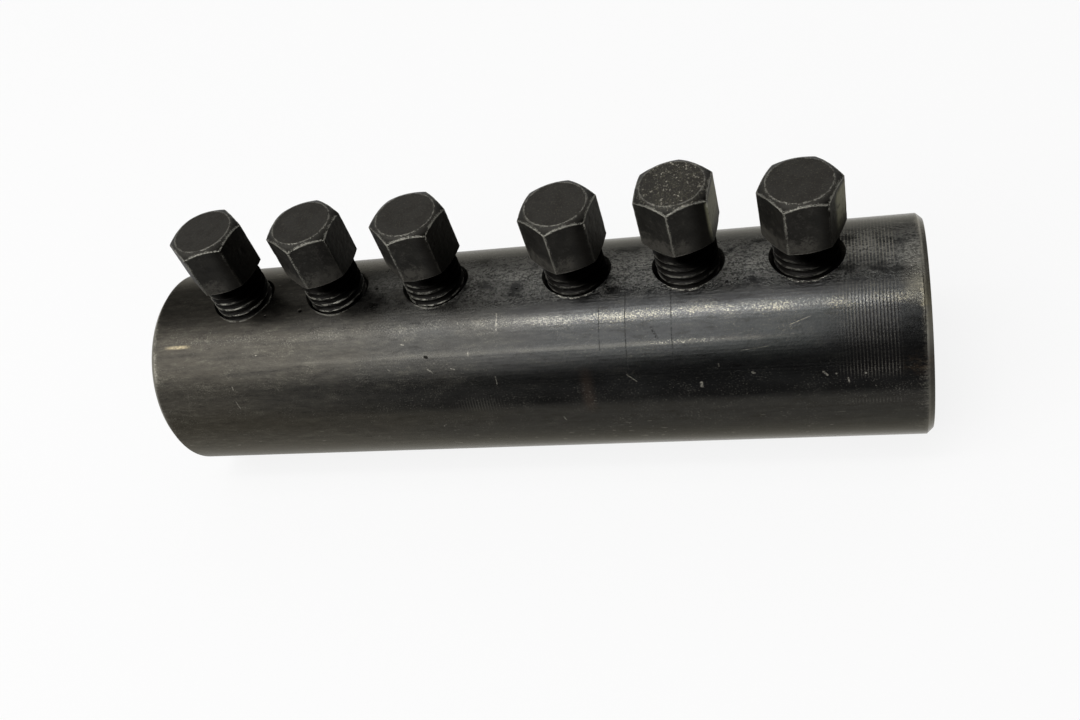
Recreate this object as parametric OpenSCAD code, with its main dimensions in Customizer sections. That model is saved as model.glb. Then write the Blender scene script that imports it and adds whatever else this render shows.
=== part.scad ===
// Bolted coupler for reinforcing bar: a thick steel sleeve with one row of hex-headed lock bolts
// along its crown and two serrated saddles along the bottom of its bore. The bolts are drawn part
// way in, as supplied. Origin: on the bore's axis, half way along the sleeve. +X runs along the
// sleeve and +Z points out along the bolts.

/* [Sleeve] */
// Length of the sleeve
sleeve_len = 159; // [140:1:220]
// Outer diameter of the sleeve
sleeve_d = 42.4; // [40:0.1:60]
// Wall thickness of the sleeve
sleeve_wall = 7.1; // [5:0.1:9]
// Length of the bevel round each outer end, along the sleeve
end_bevel_len = 1.2; // [0.2:0.1:3]
// Height of that bevel, square to the sleeve
end_bevel_drop = 1.1; // [0.2:0.1:3]
// Bevel at each mouth of the bore
bore_bevel = 0.8; // [0.2:0.1:2]

/* [Bolt row] */
// Spacing of the bolts within each group of three
bolt_pitch = 21.9; // [17:0.1:24]
// Spacing of the two bolts either side of the middle
middle_gap = 29.5; // [17:0.1:36]

/* [Bolt head] */
// Width across the flats of the head
head_af = 13.3; // [12:0.1:16]
// Height of the head at its corners
head_h = 10.8; // [7:0.1:16]
// Diameter of the flat circle on top of the head
head_flat_d = 11.8; // [8:0.1:11.9]
// Slope of the bevel round the top of the head, in degrees
head_bevel_angle = 30; // [15:1:40]
// Height of the cone under the head
head_cone_h = 1.4; // [1:0.1:3]

/* [Bolt shank] */
// Diameter of the neck that the head shears off at
neck_d = 9.8; // [7:0.1:9.8]
// Length of the neck
neck_len = 0.8; // [0.5:0.1:3]
// Outer diameter of the thread
thread_d = 12; // [11:0.5:13]
// Pitch of the thread
thread_pitch = 1.75; // [1.25:0.05:2]
// Length of the thread and its point
thread_len = 15; // [11:0.1:16]
// Length of the conical point
point_len = 1.5; // [0.5:0.1:2.5]
// Diameter of the flat on the point
point_d = 7; // [4:0.1:8]

/* [Bolt holes] */
// Gap between the thread and its hole, all round
thread_clearance = 0.06; // [0.02:0.01:0.3]
// Diameter of the bevelled mouth where it meets the crown
mouth_d = 14; // [13:0.1:15]
// Slope of that bevel from the bolt's axis, in degrees
mouth_angle = 45; // [30:1:60]

/* [Bolts as supplied] */
// Height of the head of bolt 1 above the crown
bolt_1_out = 8.35; // [3:0.05:11]
// Height of the head of bolt 2 above the crown
bolt_2_out = 8.15; // [3:0.05:11]
// Height of the head of bolt 3 above the crown
bolt_3_out = 7.7; // [3:0.05:11]
// Height of the head of bolt 4 above the crown
bolt_4_out = 6.75; // [3:0.05:11]
// Height of the head of bolt 5 above the crown
bolt_5_out = 8.85; // [3:0.05:11]
// Height of the head of bolt 6 above the crown
bolt_6_out = 6.75; // [3:0.05:11]
// Turn of bolt 1, in degrees
bolt_1_turn = 16; // [0:1:59]
// Turn of bolt 2, in degrees
bolt_2_turn = 23; // [0:1:59]
// Turn of bolt 3, in degrees
bolt_3_turn = 12; // [0:1:59]
// Turn of bolt 4, in degrees
bolt_4_turn = 20; // [0:1:59]
// Turn of bolt 5, in degrees
bolt_5_turn = 25; // [0:1:59]
// Turn of bolt 6, in degrees
bolt_6_turn = 9; // [0:1:59]

/* [Saddles] */
// Thickness of a saddle, from the bore's wall to the tips of its teeth
saddle_t = 3.5; // [2:0.1:5]
// Width of a saddle
saddle_w = 7; // [4:0.1:9]
// Angle of each saddle from the bottom of the bore
saddle_angle = 38; // [30:1:60]
// How far each end of a saddle stops short of the sleeve's end
saddle_setback = 1.5; // [0.5:0.1:10]
// Pitch of the teeth across a saddle
tooth_pitch = 2.5; // [2:0.1:5]
// Depth of the teeth
tooth_depth = 0.9; // [0.3:0.1:1.5]

/* [Hidden] */
$fn = 96;

// Sleeve
crown_z = sleeve_d / 2;
bore_r = crown_z - sleeve_wall;

// Places along the row: three bolts each side of the middle
bolt_x = [for (side = [-1, 1], step = side < 0 ? [2:-1:0] : [0:1:2])
          side * (middle_gap / 2 + step * bolt_pitch)];
bolt_out = [bolt_1_out, bolt_2_out, bolt_3_out, bolt_4_out, bolt_5_out, bolt_6_out];
bolt_turn = [bolt_1_turn, bolt_2_turn, bolt_3_turn, bolt_4_turn, bolt_5_turn, bolt_6_turn];

// Bolt, with z = 0 where the corners of the head end
corner_r = head_af / 2 / cos(30);
head_flat_r = head_flat_d / 2;
neck_r = neck_d / 2;
thread_r = thread_d / 2;
thread_root_r = thread_r - 0.6134 * thread_pitch;
thread_top_z = -head_cone_h - neck_len;
point_z = thread_top_z - thread_len + point_len;
thread_turns = floor((thread_top_z - point_z) / thread_pitch);

// Bolt holes
hole_r = thread_r + thread_clearance;
mouth_r = mouth_d / 2;
mouth_depth = (mouth_r - hole_r) / tan(mouth_angle);

// Saddles
saddle_len = sleeve_len - 2 * saddle_setback;
tooth_count = floor(saddle_len / tooth_pitch);
teeth_len = tooth_count * tooth_pitch;
tooth_tip_r = bore_r - saddle_t;

// How far a cutting tool runs past the surface that it cuts
past = 1;

// Turns a shape drawn round Z so that it lies round X
module along_x() {
    rotate([0, 90, 0]) children();
}

// One hole: the thread's hole, and the bevel that opens it at the crown
module bolt_hole() {
    cylinder(h = crown_z + past, r = hole_r);
    translate([0, 0, crown_z - mouth_depth])
        cylinder(h = mouth_depth + past, r1 = hole_r, r2 = mouth_r + past * tan(mouth_angle));
}

module sleeve() {
    half = sleeve_len / 2;
    color("#4c4a47")
    difference() {
        along_x()
            rotate_extrude()
                polygon([
                    [bore_r, half - bore_bevel],
                    [bore_r + bore_bevel, half],
                    [crown_z - end_bevel_drop, half],
                    [crown_z, half - end_bevel_len],
                    [crown_z, end_bevel_len - half],
                    [crown_z - end_bevel_drop, -half],
                    [bore_r + bore_bevel, -half],
                    [bore_r, bore_bevel - half]
                ]);
        for (x = bolt_x)
            translate([x, 0, 0]) bolt_hole();
    }
}

// Hexagon trimmed by a cone above and a cone below, which leaves the curved edges of a turned head
module bolt_head() {
    reach = corner_r + past;
    intersection() {
        translate([0, 0, -head_cone_h])
            cylinder(h = head_cone_h + head_h, r = corner_r, $fn = 6);
        rotate_extrude()
            polygon([
                [0, -head_cone_h],
                [neck_r, -head_cone_h],
                [reach, head_cone_h * past / (corner_r - neck_r)],
                [reach, head_h - (reach - head_flat_r) * tan(head_bevel_angle)],
                [head_flat_r, head_h],
                [0, head_h]
            ]);
    }
}

// Outline of one turn of thread, from the root above it to the root below it
function thread_turn(top_z) = [
    [thread_root_r, top_z],
    [thread_r, top_z - 0.3125 * thread_pitch],
    [thread_r, top_z - 0.4375 * thread_pitch],
    [thread_root_r, top_z - 0.75 * thread_pitch]
];

module bolt_shank() {
    rotate_extrude()
        polygon([
            [0, -head_cone_h / 2],
            [neck_r, -head_cone_h / 2],
            [neck_r, thread_top_z],
            for (i = [0:thread_turns - 1])
                each thread_turn(thread_top_z - i * thread_pitch),
            [thread_root_r, point_z],
            [point_d / 2, point_z - point_len],
            [0, point_z - point_len]
        ]);
}

// Bolt number i, counted from 0 at the -X end
module bolt(i) {
    color("#3f3e3c")
    translate([bolt_x[i], 0, crown_z + bolt_out[i]])
        rotate([0, 0, bolt_turn[i]]) {
            bolt_head();
            bolt_shank();
        }
}

// Outline of a saddle seen from the side: plain below, toothed on the bar's side
module saddle_outline() {
    end_x = teeth_len / 2;
    polygon([
        [-saddle_len / 2, -bore_r - past],
        [saddle_len / 2, -bore_r - past],
        [saddle_len / 2, -tooth_tip_r - tooth_depth],
        for (i = [0:tooth_count - 1])
            each [
                [end_x - i * tooth_pitch, -tooth_tip_r - tooth_depth],
                [end_x - (i + 0.5) * tooth_pitch, -tooth_tip_r]
            ],
        [-end_x, -tooth_tip_r - tooth_depth],
        [-saddle_len / 2, -tooth_tip_r - tooth_depth]
    ]);
}

// A saddle at the bottom of the bore, swung to one side. Its back takes the bore's curve.
module saddle(side) {
    color("#57534d")
    rotate([side * saddle_angle, 0, 0])
        intersection() {
            along_x() cylinder(h = saddle_len, r = bore_r, center = true);
            rotate([90, 0, 0])
                linear_extrude(saddle_w, center = true) saddle_outline();
        }
}

sleeve();
bolt(0);  // bolt_1
bolt(1);  // bolt_2
bolt(2);  // bolt_3
bolt(3);  // bolt_4
bolt(4);  // bolt_5
bolt(5);  // bolt_6
saddle(-1);  // saddle_front
saddle(1);  // saddle_rear
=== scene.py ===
"""A bolted coupler for reinforcing bar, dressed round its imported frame.

Six hex-headed lock bolts stand part way out of a thick steel sleeve, and two serrated saddles lie
along the bottom of its bore. Lengths in the node trees and materials are in millimetres; every
finished object is in metres, in the frame of the CAD.
"""

import math

import bpy
from mathutils import Matrix, Vector


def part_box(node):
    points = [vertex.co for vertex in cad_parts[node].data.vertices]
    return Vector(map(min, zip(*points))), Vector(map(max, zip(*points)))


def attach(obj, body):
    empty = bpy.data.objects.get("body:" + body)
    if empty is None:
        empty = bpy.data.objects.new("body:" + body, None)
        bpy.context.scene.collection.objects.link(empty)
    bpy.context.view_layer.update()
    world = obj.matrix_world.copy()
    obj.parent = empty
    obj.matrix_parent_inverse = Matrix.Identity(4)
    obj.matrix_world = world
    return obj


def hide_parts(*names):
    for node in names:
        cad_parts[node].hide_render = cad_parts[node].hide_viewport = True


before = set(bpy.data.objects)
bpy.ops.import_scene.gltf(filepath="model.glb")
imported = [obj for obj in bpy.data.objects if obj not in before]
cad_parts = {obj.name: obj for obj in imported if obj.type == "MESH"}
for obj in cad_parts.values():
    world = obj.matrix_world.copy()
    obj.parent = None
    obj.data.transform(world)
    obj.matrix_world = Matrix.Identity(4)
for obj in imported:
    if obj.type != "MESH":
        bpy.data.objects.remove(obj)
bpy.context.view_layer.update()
MM = 0.001  # metres in a millimetre

# ----------------------------------------------------------------------------------------------
# The sleeve: a length of thick seamless tube in blackened steel, faced and bevelled at both ends.
# The lathe's feed marks are left near its +X end. Six holes are drilled down through the crown
# and countersunk for the bolts.
# ----------------------------------------------------------------------------------------------


class Wire:
    """The value of a node's socket. Arithmetic on it adds Math nodes to the tree it is in."""

    def __init__(self, tree, socket):
        self.tree, self.socket = tree, socket

    def out(self, name):
        """Another output of the same node."""
        return Wire(self.tree, self.socket.node.outputs[name])

    def maths(self, operation, *others):
        return self.tree.maths(operation, self, *others)

    def __add__(self, other):
        return self.maths("ADD", other)

    def __sub__(self, other):
        return self.maths("SUBTRACT", other)

    def __mul__(self, other):
        return self.maths("MULTIPLY", other)

    def __truediv__(self, other):
        return self.maths("DIVIDE", other)

    def __gt__(self, other):
        return self.maths("GREATER_THAN", other)

    def __lt__(self, other):
        return self.maths("LESS_THAN", other)

    def __radd__(self, other):
        return self.tree.maths("ADD", other, self)

    def __rsub__(self, other):
        return self.tree.maths("SUBTRACT", other, self)

    def __rmul__(self, other):
        return self.tree.maths("MULTIPLY", other, self)

    def __rtruediv__(self, other):
        return self.tree.maths("DIVIDE", other, self)

    def __neg__(self):
        return self.maths("MULTIPLY", -1)

    def __abs__(self):
        return self.maths("ABSOLUTE")

    def least(self, other):
        return self.maths("MINIMUM", other)

    def most(self, other):
        return self.maths("MAXIMUM", other)

    def rise(self, start, end):
        """0 up to start, 1 from end on, and an even curve between; start may be above end."""
        return self.tree.node("ShaderNodeMapRange", {"interpolation_type": "SMOOTHSTEP"},
                              {"Value": self, "From Min": start, "From Max": end})

    def near(self, place, reach):
        """1 at place, falling to 0 at reach on either side of it."""
        return abs(self - place).rise(reach, 0)


class Tree:
    """A tree of nodes being drawn up."""

    def __init__(self, nodes):
        self.nodes = nodes

    def node(self, kind, settings=None, sockets=None):
        """Adds one node: its settings first, then its sockets' values or links."""
        made = self.nodes.nodes.new(kind)
        for name, value in (settings or {}).items():
            setattr(made, name, value)
        for name, value in (sockets or {}).items():
            for part in value if isinstance(value, list) else [value]:
                if isinstance(part, Wire):
                    self.nodes.links.new(part.socket, made.inputs[name])
                else:
                    made.inputs[name].default_value = part
        return Wire(self, made.outputs[0]) if made.outputs else None

    def maths(self, operation, *values):
        return self.node("ShaderNodeMath", {"operation": operation}, dict(enumerate(values)))

    def vector(self, x, y, z):
        return self.node("ShaderNodeCombineXYZ", None, {"X": x, "Y": y, "Z": z})

    def parts(self, vector):
        """The three parts of a vector."""
        x = self.node("ShaderNodeSeparateXYZ", None, {"Vector": vector})
        return x, x.out("Y"), x.out("Z")

    def noise(self, vector, scale, detail=2.0, roughness=0.5, offset=0.0):
        return self.node("ShaderNodeTexNoise", {"noise_dimensions": "4D"},
                         {"Vector": vector, "W": offset, "Scale": scale, "Detail": detail,
                          "Roughness": roughness})


class Shape(Tree):
    """A Geometry Nodes tree with named inputs, which makes a piece from an outline."""

    SHARP = math.radians(35)  # faces that meet at more than this keep a crisp edge between them
    WELD = 1e-4  # points this close in millimetres become one

    def __init__(self, name):
        super().__init__(bpy.data.node_groups.new(name, "GeometryNodeTree"))
        face = self.nodes.interface
        self.sockets = {"Outline": face.new_socket("Outline", in_out="INPUT",
                                                   socket_type="NodeSocketGeometry")}
        face.new_socket("Piece", in_out="OUTPUT", socket_type="NodeSocketGeometry")
        self.entry = self.nodes.nodes.new("NodeGroupInput")

    def input(self, name, kind="Float"):
        """The input of this name, made when it is first asked for."""
        if name not in self.sockets:
            self.sockets[name] = self.nodes.interface.new_socket(
                name, in_out="INPUT", socket_type="NodeSocket" + kind)
        return Wire(self, self.entry.outputs[name])

    def skin(self, columns):
        """A grid with one row for each point of the outline and one column for each step of a
        turn. Gives the grid, the row's outline point and the column's angle."""
        outline = self.input("Outline")
        rows = self.node("GeometryNodeAttributeDomainSize", None, {"Geometry": outline})
        grid = self.node("GeometryNodeMeshGrid", None,
                         {"Size X": rows - 1, "Size Y": columns, "Vertices X": rows,
                          "Vertices Y": columns + 1})
        across, along, _ = self.parts(self.node("GeometryNodeInputPosition"))
        row = (across + (rows - 1) / 2).maths("ROUND")
        point = self.node("GeometryNodeSampleIndex", {"data_type": "FLOAT_VECTOR"},
                          {"Geometry": outline, "Value": self.node("GeometryNodeInputPosition"),
                           "Index": row})
        return grid, point, (along / columns + 0.5) * math.tau

    def weld(self, piece, distance=WELD):
        """The piece with its seams and poles closed."""
        return self.node("GeometryNodeMergeByDistance", None,
                         {"Geometry": piece, "Distance": distance})

    def finish(self, piece):
        """Ends the tree: sharp corners stay sharp, the piece goes to its place in metres, and the
        material goes on."""
        crease = self.node("GeometryNodeInputMeshEdgeAngle") > self.SHARP
        smooth = self.node("GeometryNodeSetShadeSmooth", {"domain": "EDGE"},
                           {"Geometry": piece, "Selection": crease, "Shade Smooth": False})
        sized = self.node("GeometryNodeTransform", None,
                          {"Geometry": smooth, "Translation": self.input("Place", "Vector"),
                           "Scale": (MM, MM, MM)})
        plain = self.node("GeometryNodeRealizeInstances", None, {"Geometry": sized})
        done = self.node("GeometryNodeSetMaterial", None,
                         {"Geometry": plain, "Material": self.input("Material", "Material")})
        self.node("NodeGroupOutput", None, {"Piece": done})

    def make(self, name, outline, sizes):
        """The plain mesh that this tree makes from an outline of (along, out) points."""
        blank = bpy.data.meshes.new(name)
        blank.from_pydata([(x, 0, z) for x, z in outline], [], [])
        former = bpy.data.objects.new(name + "_outline", blank)
        bpy.context.scene.collection.objects.link(former)
        modifier = former.modifiers.new(self.nodes.name, "NODES")
        modifier.node_group = self.nodes
        for title, value in sizes.items():
            modifier[self.sockets[title].identifier] = value
        shaped = former.evaluated_get(bpy.context.evaluated_depsgraph_get())
        piece = bpy.data.objects.new(name, bpy.data.meshes.new_from_object(shaped))
        former.modifiers.clear()
        bpy.data.objects.remove(former)
        bpy.context.scene.collection.objects.link(piece)
        return piece


def steps(start, end, longest):
    """Even steps from start up to end, end left out, none over the longest."""
    count = max(1, math.ceil(abs(end - start) / longest))
    return [start + (end - start) * k / count for k in range(count)]


def worn(corners, radius, longest):
    """The outline through these corners in short steps, with all but its two ends worn round."""
    outline = [Vector(corners[0])]
    for before, corner, after in zip(corners, corners[1:], corners[2:]):
        corner, before, after = Vector(corner), Vector(before), Vector(after)
        back, on = before - corner, after - corner
        reach = min(radius * math.tan((math.pi - back.angle(on)) / 2),
                    back.length / 2, on.length / 2)
        start, end = corner + back.normalized() * reach, corner + on.normalized() * reach
        for t in (0, 0.25, 0.5, 0.75, 1):
            outline.append(start * (1 - t) ** 2 + corner * (2 * t * (1 - t)) + end * t * t)
    outline.append(Vector(corners[-1]))
    return [a + (b - a) * t for a, b in zip(outline, outline[1:])
            for t in steps(0, 1, longest / max((b - a).length, 1e-6))] + [outline[-1]]


sleeve_low, sleeve_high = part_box("sleeve")
crown = sleeve_high.z / MM  # outer radius
half = sleeve_high.x / MM  # half the length
wall = 7.1
bore = crown - wall  # inner radius
bore_bevel = 0.8
bevel_len, bevel_drop = 1.2, 1.1
edge_wear = 0.25  # how far the ends' corners are worn round
row_step = 2.5  # longest step of the outline
sleeve_facets = 192

bolt_nodes = ["bolt_%d" % number for number in range(1, 7)]
bolt_tops = [(low + high) / 2 + Vector((0, 0, (high.z - low.z) / 2))
             for low, high in map(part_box, bolt_nodes)]
bolt_pitch = (bolt_tops[5].x - bolt_tops[4].x) / MM
middle_gap = (bolt_tops[3].x - bolt_tops[2].x) / MM
hole_radius = 6.06
mouth_radius = 7.0  # of the countersink where it meets the crown
hole_facets = 96

feed_start, feed_end = 61.0, 74.6  # where the lathe's feed marks begin and end
feed_pitch = 0.6
feed_depth = 0.007


def feed_stretch(along):
    """1 along the stretch with feed marks, where they fade in slowly and end abruptly."""
    return along.rise(feed_start, feed_start + 8) * along.rise(feed_end, feed_end - 1.2)


def drilled_sleeve():
    """Draws up the sleeve: the outline spun round X, scored by the lathe, then drilled."""
    shape = Shape("drilled_sleeve")
    grid, point, turn = shape.skin(sleeve_facets)
    along, _, out = shape.parts(point)

    # The feed marks, rubbed away here and there
    around = shape.vector(along * 0.12, turn.maths("SINE") * crown,
                          turn.maths("COSINE") * crown)
    rubbed = shape.noise(around, 0.11, offset=shape.input("Seed")).rise(0.36, 0.58)
    score = 0.5 + 0.5 * (along / shape.input("Feed Pitch") * math.tau).maths("SINE")
    on_tube = out > crown - 0.01
    out = out - (shape.input("Feed Depth") * feed_stretch(along) * rubbed * score * on_tube)
    spun = shape.node("GeometryNodeSetPosition", None, {
        "Geometry": grid,
        "Position": shape.vector(along, -(out * turn.maths("SINE")),
                                 out * turn.maths("COSINE"))})
    closed = shape.weld(spun)

    # The cutters: one drill and one countersink above each bolt's place in the row
    past = 1.5  # how far they reach past the crown
    number = shape.node("GeometryNodeInputIndex") - (len(bolt_nodes) - 1) / 2
    spread = (shape.input("Middle Gap") - shape.input("Bolt Pitch")) / 2
    row = shape.node("GeometryNodePoints", None, {
        "Count": len(bolt_nodes),
        "Position": shape.vector(number * shape.input("Bolt Pitch")
                                 + number.maths("SIGN") * spread, 0, 0)})
    drill = shape.node("GeometryNodeMeshCylinder", None, {
        "Vertices": hole_facets, "Side Segments": 1, "Radius": shape.input("Hole Radius"),
        "Depth": crown + past})
    drill = shape.node("GeometryNodeTransform", None,
                       {"Geometry": drill, "Translation": (0, 0, (crown + past) / 2)})
    sink_depth = shape.input("Mouth Radius") - shape.input("Hole Radius")
    sink = shape.node("GeometryNodeMeshCone", None, {
        "Vertices": hole_facets, "Side Segments": 1,
        "Radius Top": shape.input("Mouth Radius") + past,
        "Radius Bottom": shape.input("Hole Radius"), "Depth": sink_depth + past})
    sink = shape.node("GeometryNodeTransform", None,
                      {"Geometry": sink, "Translation": shape.vector(0, 0, crown - sink_depth)})
    cutters = [shape.node("GeometryNodeRealizeInstances", None, {
        "Geometry": shape.node("GeometryNodeInstanceOnPoints", None,
                               {"Points": row, "Instance": cutter})}) for cutter in (drill, sink)]
    drilled = shape.node("GeometryNodeMeshBoolean",
                         {"operation": "DIFFERENCE", "solver": "EXACT"},
                         {"Mesh 1": closed, "Mesh 2": cutters})
    coarser = Shape.WELD * 10  # which also closes the slivers that the cut leaves along its joins
    shape.finish(shape.weld(drilled, coarser))
    return shape


class Finish(Tree):
    """A metal finish: a material whose maps are worked out from a place in millimetres."""

    OIL_FILM = (0.73, 0.715, 0.67, 1)

    def __init__(self, name):
        self.material = bpy.data.materials.new(name)
        self.material.use_nodes = True
        super().__init__(self.material.node_tree)
        self.nodes.nodes.clear()
        self.place = self.node("ShaderNodeMapping", None, {
            "Vector": self.node("ShaderNodeTexCoord").out("Object"), "Scale": (1000, 1000, 1000)})

    def stretched(self, x, y, z):
        return self.node("ShaderNodeMapping", None, {"Vector": self.place, "Scale": (x, y, z)})

    def blend(self, amount, first, second):
        """From the first colour to the second by amount: sockets 0, 6 and 7 are the mix node's
        factor and colours, and output 2 its colour."""
        mixed = self.node("ShaderNodeMix", {"data_type": "RGBA"}, {0: amount, 6: first, 7: second})
        return Wire(self, mixed.socket.node.outputs[2])

    def metal(self, colour, roughness, heights, metallic=1.0, shine=0.5):
        """Ends the tree with a metal shader and one bump for each (height, depth) given. Shine is
        for what isn't bare metal; the film of oil on it makes the shine a little warm."""
        normal = {}
        for height, depth in heights:
            normal = {"Normal": self.node("ShaderNodeBump", None, {
                "Height": height, "Strength": 1.0, "Distance": depth * MM, **normal})}
        steel = self.node("ShaderNodeBsdfPrincipled", None, {
            "Base Color": colour, "Metallic": metallic, "Roughness": roughness,
            "Specular IOR Level": shine, "Specular Tint": self.OIL_FILM, **normal})
        self.node("ShaderNodeOutputMaterial", None, {"Surface": steel})
        return self.material


# Marks of use on the sleeve, each a stroke: the place of its middle along X, its angle round from
# the crown towards -Y in degrees, its length, its tilt from the X axis in degrees and its width.
bright_marks = [(-59.8, 56, 0.7, 80, 0.12), (-59.5, 66.5, 1.8, 70, 0.10), (-53.5, 38, 0.2, 0, 0.12),
                (-23.8, 50.5, 0.5, 30, 0.12), (-20.5, 37, 0.5, 10, 0.12), (-15, 52, 1.3, 35, 0.13),
                (-10.2, 51.5, 0.8, 20, 0.12), (-14.8, 87, 0.7, -40, 0.12), (-14.2, 106, 1.4, 20, 0.14),
                (-6.7, 44, 0.8, 90, 0.13), (-0.7, 28, 3.6, 90, 0.08), (-1.5, 59, 1.6, 85, 0.09),
                (10.7, 85, 0.9, 70, 0.12), (25.4, 61.4, 2.3, 40, 0.10), (38.4, 66.8, 0.7, 90, 0.30),
                (41.9, 56.8, 0.4, 85, 0.16), (48.1, 61.8, 0.5, 30, 0.20), (48.7, 49.2, 5.0, -6, 0.045),
                (57, 36.8, 4.0, -20, 0.045), (60.8, 63.9, 0.9, 45, 0.20), (62.7, 64.2, 0.1, 0, 0.18),
                (64.8, 68.2, 0.9, 80, 0.15), (67.8, 64.7, 0.1, 0, 0.18)]
dark_rings = [(24.9, 38, 16, 90, 0.09), (33.65, 38, 16, 90, 0.08), (30.4, 38.5, 2.2, 62, 0.26),
              (19.8, 34, 9, 90, 0.07)]
pits = [(-44.1, 13.4, 0.1, 0, 0.40), (-27.5, 2, 0.1, 0, 0.34), (-15.6, 44.6, 0.3, 20, 0.30),
        (-52, 15, 0.1, 0, 0.22), (3, 9, 0.1, 0, 0.25), (-37, -30, 0.1, 0, 0.35)]


def past_bolt(along):
    """How far along X this is from the axis of the nearest bolt."""
    gap = abs(along) - middle_gap / 2
    third = (gap / bolt_pitch).maths("ROUND").most(0).least(2)
    return (gap - third * bolt_pitch) * along.maths("SIGN")


cold_oxide, warm_oxide = (0.042, 0.043, 0.043, 1), (0.058, 0.053, 0.044, 1)
sooty, ashen, streaky = (0.020, 0.019, 0.017, 1), (0.125, 0.119, 0.096, 1), (0.022, 0.022, 0.022, 1)
sleeve_shade_black, low_side_shade, head_shadow_grey = (0.005, 0.005, 0.005, 1), (0.017, 0.014, 0.008, 1), (0.010, 0.009, 0.008, 1)
smear_brown, rust_brown = (0.052, 0.036, 0.027, 1), (0.060, 0.040, 0.024, 1)
bare_steel, golden_steel = (0.31, 0.295, 0.25, 1), (0.40, 0.365, 0.26, 1)
scraped_steel, bright_steel = (0.29, 0.285, 0.26, 1), (0.62, 0.60, 0.52, 1)
brassy, fleck_grey, grit_grey = (0.48, 0.40, 0.25, 1), (0.17, 0.162, 0.13, 1), (0.12, 0.115, 0.10, 1)
bevel_shade_black, countersink_shade_black = (0.006, 0.005, 0.004, 1), (0.006, 0.0055, 0.005, 1)


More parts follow.
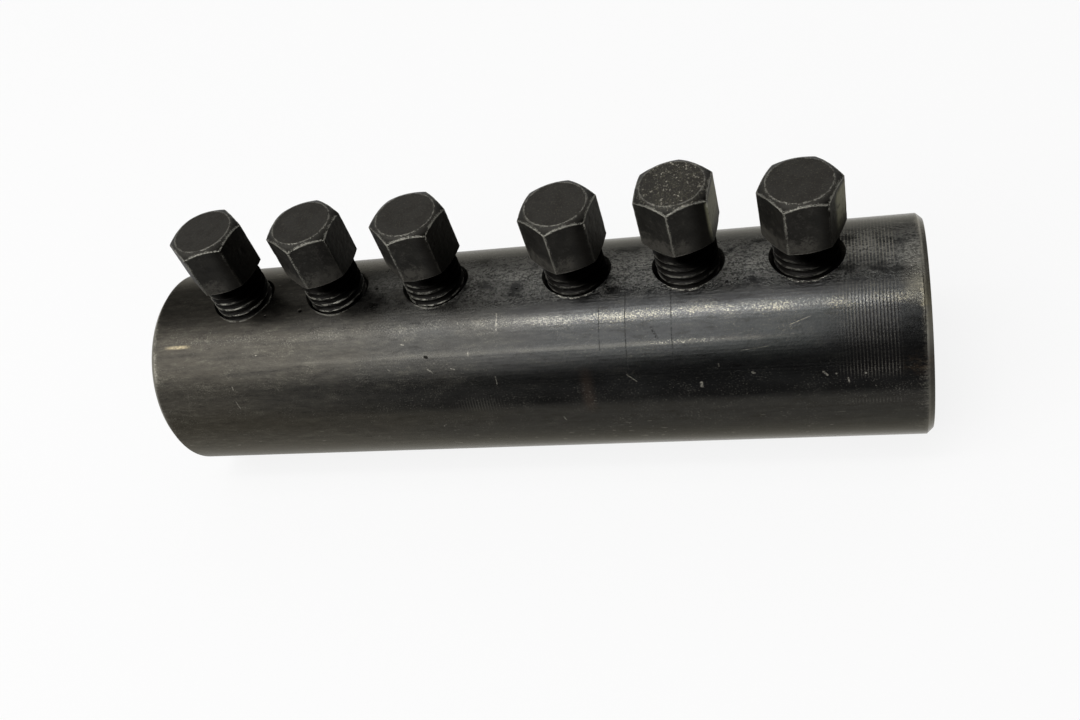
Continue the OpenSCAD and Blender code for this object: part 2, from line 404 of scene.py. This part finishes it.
def blackened_tube():
    """Drawn tube in black oxide: mottled and streaked lengthwise, warmer and duller towards -X,
    with specks of bare steel along two painted highlight lines, scraped rough between the holes,
    scratched in use, and with painted shade on its low side, in a band below the highlights, at
    its +X end, beside the bolts and in the countersinks."""
    steel = Finish("blackened_tube")
    along, front, up = steel.parts(steel.place)
    around = (-front).maths("ARCTAN2", up) * (180 / math.pi)  # degrees from the crown
    depth = crown - (up * up + front * front).maths("SQRT")
    outside = depth < bevel_len
    past = past_bolt(along)
    from_hole = (past * past + front * front).maths("SQRT")

    streaks = steel.noise(steel.stretched(0.05, 1.1, 1.1), 1.0, 4, 0.6)
    mottle = steel.noise(steel.stretched(0.26, 1.0, 1.0), 1.0, 7, 0.82, 14)
    clouds = steel.noise(steel.stretched(0.06, 0.13, 0.13), 1.0, 3, 0.55, 4)
    grain = steel.noise(steel.place, 3.2, 2, 0.6, 2)
    speckle = steel.noise(steel.stretched(1.2, 2.4, 2.4), 1.0, 3, 0.7, 7)
    specks = steel.noise(steel.stretched(3.4, 4.8, 4.8), 1.0, 2, 0.7, 8)
    patches = steel.noise(steel.stretched(0.16, 0.25, 0.25), 1.0, 3, 0.6, 9)
    hairs = steel.noise(steel.stretched(0.5, 2.6, 2.6), 1.0, 1, 0.5, 10)
    dots = (speckle + grain * 0.7).rise(0.72, 0.98)

    def strokes(marks):
        """1 on any of the marks, 0 elsewhere."""
        every = 0
        for x, angle, length, tilt, width in marks:
            tilt = math.radians(tilt)
            right, down = along - x, (around - angle) * (crown * math.pi / 180)
            onward = right * math.cos(tilt) + down * math.sin(tilt)
            beside = down * math.cos(tilt) - right * math.sin(tilt)
            over = (abs(onward) - length / 2).most(0)
            every = (over * over + beside * beside).rise(width ** 2 * 1.6, 0).most(every)
        return every * outside

    # The oxide under its mottling, duller and warmer towards -X
    dull = (along + (clouds - 0.5) * 60).rise(30, -75)
    oxide = steel.blend(dull, cold_oxide, warm_oxide)
    oxide = steel.blend(mottle.rise(0.50, 0.36) * 0.55, oxide, sooty)
    oxide = steel.blend(mottle.rise(0.50, 0.66) * (0.15 + 0.30 * dull), oxide, ashen)
    oxide = steel.blend(streaks.rise(0.4, 0.8) * 0.4, oxide, streaky)

    # Painted shade: the low side darker and warmer, a dark band below the highlights in place of a
    # dark reflection, a dim +X end, and the bolt heads' shadows on the crown to their +X side
    # the low side is painted darker as shade, and warmer in tone
    low_side = around.rise(60, 80) * around.rise(150, 120) * 0.5
    low_side = low_side * (1 - 0.8 * dull * around.rise(80, 98))
    oxide = steel.blend(low_side, oxide, low_side_shade)
    # painted shade: a dark band below the highlights standing in for a dark reflection, and a dim +X
    # end
    painted_dark = around.rise(50, 63) * around.rise(79, 72) * along.rise(-75, 15) * (0.4 + clouds)
    dim_end = along.rise(56, 70) * around.rise(32, 44) * around.rise(82, 74) * 0.40
    oxide = steel.blend(painted_dark.least(0.92).most(dim_end), oxide, sleeve_shade_black)
    # painted shadow of each bolt's head on the crown, to its +X side
    head_shadows = past.rise(2, 6) * past.rise(12.5, 7.5) * around.near(4, 26) * outside
    oxide = steel.blend(head_shadows * 0.45, oxide, head_shadow_grey)

    # The scraped crown, a smear and the rust by the +X end
    scraped = outside * (up > 0) * around.near(0, 24) * patches.rise(0.30, 0.55)
    scraped = scraped * along.rise(-50, 10)
    oxide = steel.blend(scraped * (0.15 + 0.9 * dots).least(1), oxide, scraped_steel)
    smear = along.near(16.5, 2.0) * around.rise(52, 58) * around.rise(84, 74)
    oxide = steel.blend(smear * mottle * 0.6, oxide, smear_brown)
    rust = around.near(60, 9) * along.rise(half - 7, half - 2) * (speckle + mottle).rise(0.9, 1.2)
    oxide = steel.blend(rust * outside * 0.6, oxide, rust_brown)

    # Bare steel specks along a broad line and a thin one, laid on the highlights as painted highlight,
    # and bare steel at the worn ends
    # a broad painted highlight line of bare specks where the lamps' highlight falls
    rubbed_highlight_line = around.near(28.5, 5.0) * (0.45 + 0.55 * along.rise(-40, 20))
    bare = (specks + rubbed_highlight_line * 0.14 + (patches - 0.5) * 0.35).rise(0.58, 0.80) * 0.28
    # a thin painted highlight line, with painted glints where it is brightest
    thin_highlight_line = around.near(43.8, 1.9) * along.rise(-62, -30) * along.rise(62, 44)
    bare = bare.most(thin_highlight_line * (specks + patches - 0.5) * 0.16)
    bare = bare.most(thin_highlight_line * (specks + speckle).rise(1.0, 1.22) * along.near(36, 14) * 0.75)
    ends = (abs(along) + (speckle - 0.5) * 3.0 + (patches - 0.5) * 2.0).rise(half - 2.0, half - 0.9)
    bare = bare.most(ends * 0.5 * (1 - 0.7 * around.rise(45, 60)))
    worn_rim = along.rise(half - 6, half - 1) * around.near(12, 24) * (speckle + mottle - 0.45)
    bare = bare.most(worn_rim * 0.9)

    # Bare steel on the crests of the feed marks, and of a few more near the middle
    crest = (along / -feed_pitch * math.tau).maths("SINE").rise(0.1, 1.0)
    unrubbed = (1 - 0.85 * around.near(17, 5)) * around.rise(69, 62) + 0.4 * around.near(81, 3)
    unrubbed = unrubbed * (0.50 + 0.35 * around.rise(42, 50) + 4.5 * around.near(-4, 18))
    crest_wear = feed_stretch(along) * unrubbed * specks.rise(0.30, 0.62) * 0.34
    bare = bare.most((crest * crest_wear).least(0.9))
    bare = bare.most(crest * along.near(-6, 7) * around.near(73, 6) * 0.10)

    # Hairline scuffs and the scratches
    bare = bare.most(hairs.rise(0.69, 0.73) * (1 - up.rise(-5, 5) * front.rise(5, -5)) * 0.4)
    scratch = (grain * 2.2 + speckle * 1.2 - 1.3).most(0).least(0.75)
    bare = bare.most(strokes(bright_marks) * scratch)
    golden = around.near(30, 20) * along.rise(5, 35) * patches.rise(0.35, 0.6)
    metal = steel.blend(golden, bare_steel, golden_steel)
    colour = steel.blend(bare * outside, oxide, metal)

    # A brassy rub near the -X end, pale flecks at both ends, grit in the painted dark band, the holes'
    # lips
    glint = along.near(-72.3, 3.8) * around.near(30.7, 1.5) * (specks + mottle).rise(0.75, 1.15)
    colour = steel.blend(glint * outside * 0.9, colour, brassy)
    flecks = along.rise(16 - half, 1 - half).most(along.rise(half - 4, half - 1))
    flecks = flecks * around.rise(38, 60) * streaks.rise(0.45, 0.6)
    flecks = flecks.most(dull * around.near(50, 26) * patches.rise(0.46, 0.62))
    flecks = flecks * (specks + mottle).rise(0.95, 1.22) * outside
    colour = steel.blend(flecks * 0.42, colour, fleck_grey)
    grit = painted_dark * (specks + grain).rise(1.16, 1.28)
    colour = steel.blend(grit * outside * 0.35, colour, grit_grey)
    lip = from_hole.near(6.35, 0.28) * front.rise(-4.2, -5.6) * (0.35 + 0.65 * along.rise(-20, 20))
    colour = steel.blend(lip * outside * speckle.rise(0.38, 0.55), colour, bright_steel)

    # Dark: painted shade on the +X bevel, deepest near the top, old rings and pits, and painted shade
    # in the countersinks and holes
    # painted shade on the +X bevel
    bevel = along.rise(half - 1.0, half - 0.6) * outside
    colour = steel.blend(bevel * (0.45 + 0.4 * around.near(-10, 50)), colour, bevel_shade_black)
    dark = (strokes(dark_rings) * (grain * 1.8 + speckle - 1.1).least(0.5)).most(strokes(pits))
    # painted shade inside the countersinks and the tops of the holes
    shaded_countersink = (up > 0) * depth.rise(0.0, 0.12) * from_hole.rise(mouth_radius + 0.6, mouth_radius + 0.2)
    colour = steel.blend(dark.most(shaded_countersink * 0.9), colour, countersink_shade_black)

    roughness = 0.21 + dull * 0.13 + scraped * 0.2 + (grain - 0.5) * 0.14 + (mottle - 0.5) * 0.2
    return steel.metal(colour, roughness, [(grain, 0.012), (mottle, 0.02),
                                           (dots * scraped, 0.05), (-dark, 0.05)])


sleeve_finish = blackened_tube()

far = half - bevel_len  # where the bevels start
left_side = worn([(0, bore), (bore_bevel - half, bore), (-half, bore + bore_bevel),
                  (-half, crown - bevel_drop), (-far, crown), (feed_start, crown)],
                 edge_wear, row_step)
right_side = worn([(feed_end, crown), (far, crown), (half, crown - bevel_drop),
                   (half, bore + bore_bevel), (half - bore_bevel, bore), (0, bore)],
                  edge_wear, row_step)
scored = [(x, crown) for x in steps(feed_start, feed_end, feed_pitch / 8)[1:]]
sleeve = drilled_sleeve().make("dressed_sleeve", left_side + scored + right_side, {
    "Bolt Pitch": bolt_pitch, "Middle Gap": middle_gap, "Hole Radius": hole_radius,
    "Mouth Radius": mouth_radius, "Feed Pitch": feed_pitch, "Feed Depth": feed_depth,
    "Seed": 3.0, "Material": sleeve_finish})
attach(sleeve, "sleeve_body")
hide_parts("sleeve")

# ----------------------------------------------------------------------------------------------
# The saddles: two toothed strips of case-hardened steel, welded along the bottom of the bore,
# which bite into the ribs of the bar. They keep the shape of the frame.
# ----------------------------------------------------------------------------------------------

hardened, brown_cloud = (0.075, 0.072, 0.068, 1), (0.11, 0.085, 0.062, 1)
pale_speck = (0.33, 0.31, 0.28, 1)


def hardened_strip():
    """Case-hardened steel: dark grey, clouded with brown, with pale specks."""
    steel = Finish("hardened_strip")
    clouds = steel.noise(steel.stretched(0.3, 0.3, 0.3), 1.0, 4, 0.6, 11)
    grain = steel.noise(steel.place, 2.4, 3, 0.6, 12)
    colour = steel.blend(clouds.rise(0.35, 0.7), hardened, brown_cloud)
    colour = steel.blend(grain.rise(0.62, 0.8) * 0.5, colour, pale_speck)
    return steel.metal(colour, 0.42 + (grain - 0.5) * 0.2, [(grain, 0.03)])


saddle_finish = hardened_strip()
for name in ("saddle_front", "saddle_rear"):
    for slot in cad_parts[name].material_slots:
        slot.material = saddle_finish

# ----------------------------------------------------------------------------------------------
# The lock bolts: forged hex heads, trimmed by a cone above and below, over a narrow neck and a
# rolled right-hand thread with a flat-ended point. Each was stopped at its own height and turn.
# ----------------------------------------------------------------------------------------------

across_flats = 13.3
head_height = 10.8
flat_circle = 5.9  # radius of the flat on top
bevel_slope = math.radians(30)
under_cone = 1.4  # height of the cone under the head
neck_radius, neck_len = 4.9, 0.8
thread_radius, thread_pitch, thread_depth = 6.0, 1.75, 0.95
crest_flat, flank = 0.125, 0.625  # shares of half a pitch
thread_len, point_len, point_radius = 15.0, 1.5, 3.5
corner_wear = 0.12  # how far the turned corners are worn round
bevel_wear = 0.14  # the same where the bevels run out into the flats
dent_depth = 0.12
bolt_facets = 144
head_turns = [16, 23, 12, 20, 25, 9]  # degrees, from +X to a corner of the hexagon
crest_heights = [2.1, 1.5, 1.0, 1.4, 1.9, 1.6]  # of one crest above the crown, on the -Y side


def lock_bolt():
    """Draws up a bolt: at each height and angle its skin is the least of three radii, which
    are the turned outline's, the hexagon's and the thread's. Maps for its finish are kept on it."""
    shape = Shape("lock_bolt")
    grid, point, turn = shape.skin(bolt_facets)
    outline, _, height = shape.parts(point)
    clear = 9  # added to a radius or a distance where it has no say, to take it out of reach

    off_flat = turn - shape.input("Head Turn")
    off_flat = off_flat.maths("FLOORED_MODULO", math.pi / 3) - math.pi / 6
    hexagon = shape.input("Across Flats") / 2 / off_flat.maths("COSINE")

    # The helix: a whole number of laps on a crest, one of which passes -Y at the crest height
    lap = (height - shape.input("Crest Height")) / shape.input("Thread Pitch")
    lap = lap - turn / math.tau - 0.25
    off_crest = abs((lap + 0.5).maths("FRACT") - 0.5) * 2  # 0 on a crest, 1 in a root
    groove = ((off_crest - crest_flat) / flank).most(0).least(1)
    thread = shape.input("Thread Radius") - shape.input("Thread Depth") * groove
    thread = thread + (height > -under_cone - 0.3) * clear

    trimmed = outline.maths("SMOOTH_MIN", hexagon, bevel_wear).least(outline).least(thread)
    around = shape.vector(trimmed * turn.maths("COSINE"), trimmed * turn.maths("SINE"), height)

    # Shallow dents in the head, and nicks along its corners
    dents = shape.noise(around, 0.42, 3, 0.55, offset=shape.input("Seed")).rise(0.5, 0.85)
    on_head = height > -under_cone
    nicks = (shape.noise(around, 1.3, 2, offset=shape.input("Seed")) - 0.5) * (outline > hexagon - 0.3)
    worn_in = (dents + nicks * 0.7) * on_head * (outline > 1)
    radius = trimmed - worn_in.most(0) * shape.input("Dent Depth")

    # How far each place is from the head's edges: its corners, its bevels' ends, the flat's rim
    corner = (math.pi / 6 - abs(off_flat)) * hexagon + (outline < hexagon) * clear
    cone = abs(outline - hexagon) * 0.8
    rim = abs(outline - flat_circle) + 0.10 + (height < head_height - 0.4) * clear
    edge = corner.least(cone).least(rim) + (1 - on_head) * clear
    skin = grid
    for title, value in (("from_edge", edge), ("groove", groove * (1 - on_head)),
                         ("drop", head_height - height)):
        skin = shape.node("GeometryNodeStoreNamedAttribute", None,
                          {"Geometry": skin, "Name": title, "Value": value})
    skin = shape.node("GeometryNodeSetPosition", None, {
        "Geometry": skin,
        "Position": shape.vector(radius * turn.maths("COSINE"),
                                 radius * turn.maths("SINE"), height)})
    shape.finish(shape.weld(skin))
    return shape


flat_black, flat_grey = (0.006, 0.0055, 0.0045, 1), (0.013, 0.012, 0.010, 1)
top_grey, bevel_grey = (0.033, 0.031, 0.0275, 1), (0.044, 0.042, 0.037, 1)
stain, far_face_shade, pock_grey = (0.020, 0.018, 0.0155, 1), (0.0025, 0.0022, 0.0018, 1), (0.15, 0.14, 0.10, 1)
pit_bright, scuff_grey = (0.50, 0.47, 0.38, 1), (0.075, 0.070, 0.060, 1)
dust_yellow = (0.16, 0.155, 0.105, 1)
thread_black, thread_shade_black = (0.0045, 0.0040, 0.0035, 1), (0.0010, 0.0009, 0.0008, 1)
rubbed_bright = (0.38, 0.37, 0.32, 1)


def forged_steel():
    """Forged and blackened steel: matt and scuffed on the head, rubbed in places on its edges,
    black in the thread, with painted shade on the thread and on the heads' +X faces, and painted
    glints of bare steel on some crests."""
    steel = Finish("forged_steel")
    edge, groove, drop = [steel.node("ShaderNodeAttribute", {"attribute_name": title}).out("Fac")
                          for title in ("from_edge", "groove", "drop")]
    along, _, _ = steel.parts(steel.place)
    past = past_bolt(along)
    second_at, fifth_at = bolt_tops[1].x / MM, bolt_tops[4].x / MM
    around_bolt = 9  # wide enough for one bolt, and clear of the next
    fine = steel.noise(steel.place, 6.0, 2, 0.6, 24)
    coarse = steel.noise(steel.place, 1.9, 2, 0.6, 26)
    grain = steel.noise(steel.place, 3.0, 3, 0.65, 21)
    patch = steel.noise(steel.place, 0.9, 3, 0.6, 23)
    clouds = steel.noise(steel.place, 0.35, 4, 0.6, 22)
    lines = steel.noise(steel.stretched(0.5, 0.5, 4.5), 1.0, 2, 0.6, 25)

    # The head: dark flats, a paler top and bevel, painted shade on the faces turned towards +X and on
    # the ±X sides of the bevel
    faced = drop.rise(0.9, 0.1)
    oxide = steel.blend(clouds.rise(0.3, 0.7), flat_black, flat_grey)
    oxide = steel.blend(faced, oxide, steel.blend(drop.rise(0.03, 0.3), top_grey, bevel_grey))
    oxide = steel.blend(clouds.rise(0.56, 0.38) * faced * 0.45, oxide, stain)
    # painted shade on the bevel's ±X sides and on the flats turned towards +X
    sides = abs(past).rise(1.5, 5.0) * drop.rise(0.05, 0.35)
    shaded_far_face = past.rise(2.5, 5.0) * (1 - faced)
    oxide = steel.blend(shaded_far_face.most(sides * faced) * 0.6, oxide, far_face_shade)

    # Pocks on every top, and bright pits all over the fifth's
    fifth = along.near(fifth_at, around_bolt)
    pocks = (fine * 0.5 + grain * 0.6 + fifth * 0.03).rise(0.57, 0.72) * drop.rise(0.5, 0.1)
    oxide = steel.blend(pocks * (0.3 + 0.4 * fifth), oxide, pock_grey)
    pits = (coarse * 0.7 + fine * 0.4).rise(0.62, 0.70) * fifth * drop.rise(0.6, 0.2)
    oxide = steel.blend(pits, oxide, pit_bright)

    # Scuffs, most of all near the foot and on the second's +X face, and dust on the last two's
    foot = drop.rise(head_height - 4.4, head_height - 1.4)
    second = along.near(second_at, around_bolt) * past.rise(1.5, 4.0)
    shielded = 1 - past.rise(1.0, 3.5) * (1 - second)
    scuffs = (foot * 0.18 + patch * 0.6 + grain * 0.5 + second * 0.10).rise(0.56, 0.80)
    oxide = steel.blend(scuffs * (1 - faced) * shielded * 0.55, oxide, scuff_grey)
    last_two = along.rise(fifth_at - around_bolt, fifth_at - around_bolt + 1)
    dust = last_two * past.rise(5.6, 6.2) * drop.rise(0.9, 2.2) * drop.rise(head_height, 6)
    oxide = steel.blend(dust * patch.rise(0.2, 0.5) * 0.8, oxide, dust_yellow)

    # The thread, with painted shade that makes it blackest towards +X and just under the head
    on_thread = drop.rise(head_height + 0.8, head_height + 1.4)
    right_half = along.rise(-5, 5)
    # painted shade on the thread: towards +X, just under the head, and more on the +X bolts
    painted_dark = past / 3 + (head_height + 3 - drop) / 2.5 + right_half * 0.5
    painted_dark = on_thread * painted_dark.rise(-0.7, 0.7)
    oxide = steel.blend(on_thread, oxide, thread_black)
    oxide = steel.blend(painted_dark, oxide, thread_shade_black)

    # Bare steel on the edges, and painted glints of bare steel on the lower crests, kept out of the
    # painted shade
    chipped = (patch - 0.5) * 0.9 + (fine - 0.5) * 1.3
    kept = (1 - 0.85 * past.rise(0.5, 2.5) * drop.rise(1.8, 3.0)) * (1 - 0.5 * drop.rise(3, 7))
    rubbed = (edge + chipped).rise(0.22, 0.0) * (patch.rise(0.2, 0.6) * 0.7 + 0.2) * kept
    lower = drop.rise(head_height + 1.5, head_height + 4.5) * (1 - painted_dark)
    glints = lower * groove.rise(0.35, 0.0) * (lines + patch * 0.6 + fine * 0.6 - 0.6).rise(0.42, 0.70)
    bare = (rubbed * 0.9).most(glints * (0.8 - 0.5 * right_half))
    colour = steel.blend(bare, oxide, rubbed_bright)

    # Painted shade on the thread and on the heads' +X faces takes the shine off, as a black metal does
    shineless = painted_dark.most(shaded_far_face * (1 - second) * 0.75)
    roughness = 0.52 + (grain - 0.5) * 0.25 - rubbed * 0.12 - on_thread * 0.2 + painted_dark * 0.5
    return steel.metal(colour, roughness, [(fine, 0.02), (grain, 0.03), (patch, 0.10),
                                           (lines * on_thread, 0.06)],
                       metallic=bare.most(shineless), shine=0.14)


bolt_finish = forged_steel()

# The turned outline, from the middle of the top out, down and in to the middle of the point.
# It passes just outside the hexagon's corners, so that the hexagon cuts it on all sides.
reach = across_flats / math.sqrt(3) + 0.3
foot_top, foot_low = 0.6, 0.18  # where the outline's fine steps start, and the cone under the head
thread_top = -under_cone - neck_len
thread_end = thread_top - thread_len
run_in = thread_top + 0.2  # where the thread's starting cone leaves the neck
run_in_len = (thread_radius - neck_radius) * 0.6
head_outline = [(0, head_height)] + [(r, head_height) for r in steps(0.6, flat_circle, 0.8)] + worn([
    (flat_circle - 0.3, head_height), (flat_circle, head_height),
    (reach, head_height - (reach - flat_circle) * math.tan(bevel_slope))], corner_wear, 0.08)
head_outline += [(reach, z) for z in steps(head_outline[-1][1] - 0.2, foot_top, 0.7)]
shank_outline = worn([
    (reach, foot_top), (reach, foot_low), (neck_radius, -under_cone), (neck_radius, run_in),
    (thread_radius, run_in - run_in_len), (thread_radius, thread_end + point_len),
    (point_radius, thread_end), (0.4, thread_end)], corner_wear, thread_pitch / 16)
bolt_outline = head_outline + shank_outline + [(0, thread_end)]

bolt_shape = lock_bolt()
for number, (name, top, head_turn, crest) in enumerate(
        zip(bolt_nodes, bolt_tops, head_turns, crest_heights)):
    seat = top / MM - Vector((0, 0, head_height))
    bolt = bolt_shape.make("dressed_" + name, bolt_outline, {
        "Across Flats": across_flats, "Head Turn": math.radians(head_turn),
        "Crest Height": crown + crest - seat.z, "Thread Pitch": thread_pitch,
        "Thread Radius": thread_radius, "Thread Depth": thread_depth,
        "Dent Depth": dent_depth, "Seed": 5.0 + number,
        "Place": seat * MM, "Material": bolt_finish})
    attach(bolt, name + "_body")
    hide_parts(name)

# ----------------------------------------------------------------------------------------------
# The studio: a round floor of matt white card under the sleeve, which curves up at its rim, eight
# soft lamps overhead, each as long as the reflection it gives the sleeve, and a camera above the
# front.
# ----------------------------------------------------------------------------------------------

floor_z = sleeve_low.z
floor_radius, floor_facets = 3.0, 96
rim_curve, rim_height = 0.4, 0.5
card_white, card_glow = 0.955, 0.85  # its palest white, and the share of it seen as lit from within
world_grey = 0.17


def matt_floor():
    """Matt white card. The camera and the steel see most of it as evenly white, and the rest of
    it as it is lit, with the sleeve's shadow."""
    card = Finish("matt_floor")
    grain = card.noise(card.place, 0.2, 2)
    colour = card.blend(grain, (0.94, 0.94, 0.94, 1), (card_white, card_white, card_white, 1))
    matt = card.node("ShaderNodeBsdfDiffuse", None, {"Color": colour})
    white = card.node("ShaderNodeEmission", None, {"Color": (1, 1, 1, 1), "Strength": 1.0})
    seen = card.node("ShaderNodeLightPath")  # Is Camera Ray
    seen = seen.most(seen.out("Is Glossy Ray")).most(seen.out("Is Transmission Ray"))
    shown = card.node("ShaderNodeMixShader", None, {0: seen * card_glow, 1: matt, 2: white})
    card.node("ShaderNodeOutputMaterial", None, {"Surface": shown})
    return card.material


rim = [(floor_radius - rim_curve * (1 - math.sin(turn)), rim_curve * (1 - math.cos(turn)))
       for turn in steps(0, math.pi / 2, math.pi / 16)] + [(floor_radius, rim_height)]
floor_points = [(0, 0, floor_z)]
for out, height in rim:
    for side in range(floor_facets):
        angle = side * math.tau / floor_facets
        floor_points.append((out * math.cos(angle), out * math.sin(angle), floor_z + height))
floor_faces = []
for side in range(floor_facets):
    first, second = 1 + side, 1 + (side + 1) % floor_facets
    floor_faces.append((0, first, second))
    for ring in range(len(rim) - 1):
        low, high = ring * floor_facets, (ring + 1) * floor_facets
        floor_faces.append((first + low, first + high, second + high, second + low))
floor_mesh = bpy.data.meshes.new("floor")
floor_mesh.from_pydata(floor_points, [], floor_faces)
floor_mesh.shade_smooth()
floor_mesh.materials.append(matt_floor())
floor = bpy.data.objects.new("floor", floor_mesh)
bpy.context.scene.collection.objects.link(floor)


def lamp(name, lean, distance, width, length, shift, power):
    """A soft oblong lamp, aimed at the sleeve's axis from this many degrees off the vertical
    towards -Y. Its length lies along the sleeve, and shift is the place of its middle on X."""
    light = bpy.data.lights.new(name, "AREA")
    light.shape, light.size, light.size_y, light.energy = "RECTANGLE", length, width, power
    lean = math.radians(lean)
    holder = bpy.data.objects.new(name, light)
    holder.location = (shift, -distance * math.sin(lean), distance * math.cos(lean))
    holder.rotation_euler = (lean, 0, 0)
    bpy.context.scene.collection.objects.link(holder)


lamp("long_panel", 29, 1.50, 0.80, 1.65, -0.77, 10.2)
lamp("front_panel", 50.5, 1.50, 0.34, 1.52, -0.80, 3.1)
lamp("low_panel", 64, 1.50, 0.38, 1.18, -1.00, 1.7)
lamp("upper_edge", 13.5, 1.48, 0.20, 0.54, -0.21, 3.6)
lamp("edge_tail", 16, 1.48, 0.18, 1.09, -1.03, 1.8)
lamp("lower_edge", 45, 1.48, 0.06, 1.52, -0.82, 1.4)
lamp("back_panel", -38, 1.50, 0.66, 1.79, 0.13, 2.2)
lamp("overhead_strip", 2, 1.50, 0.36, 1.79, -0.59, 2.9)

world = bpy.data.worlds.new("studio")
world.use_nodes = True
world_light = world.node_tree.nodes["Background"].inputs["Color"]
world_light.default_value = (world_grey, world_grey, world_grey, 1)
bpy.context.scene.world = world

camera_data = bpy.data.cameras.new("camera")
camera_data.lens = 36.81
camera_data.sensor_width = 36
camera = bpy.data.objects.new("camera", camera_data)
eye = (0.06783, -0.14976, 0.16754)
azimuth, elevation, roll = (math.radians(angle) for angle in (24.15, 46.37, -21.12))
camera.matrix_world = (Matrix.Translation(eye)
                       @ Matrix.Rotation(azimuth, 4, "Z")
                       @ Matrix.Rotation(math.pi / 2 - elevation, 4, "X")
                       @ Matrix.Rotation(roll, 4, "Z"))
bpy.context.scene.collection.objects.link(camera)
bpy.context.scene.camera = camera
bpy.context.scene.view_settings.view_transform = "Standard"
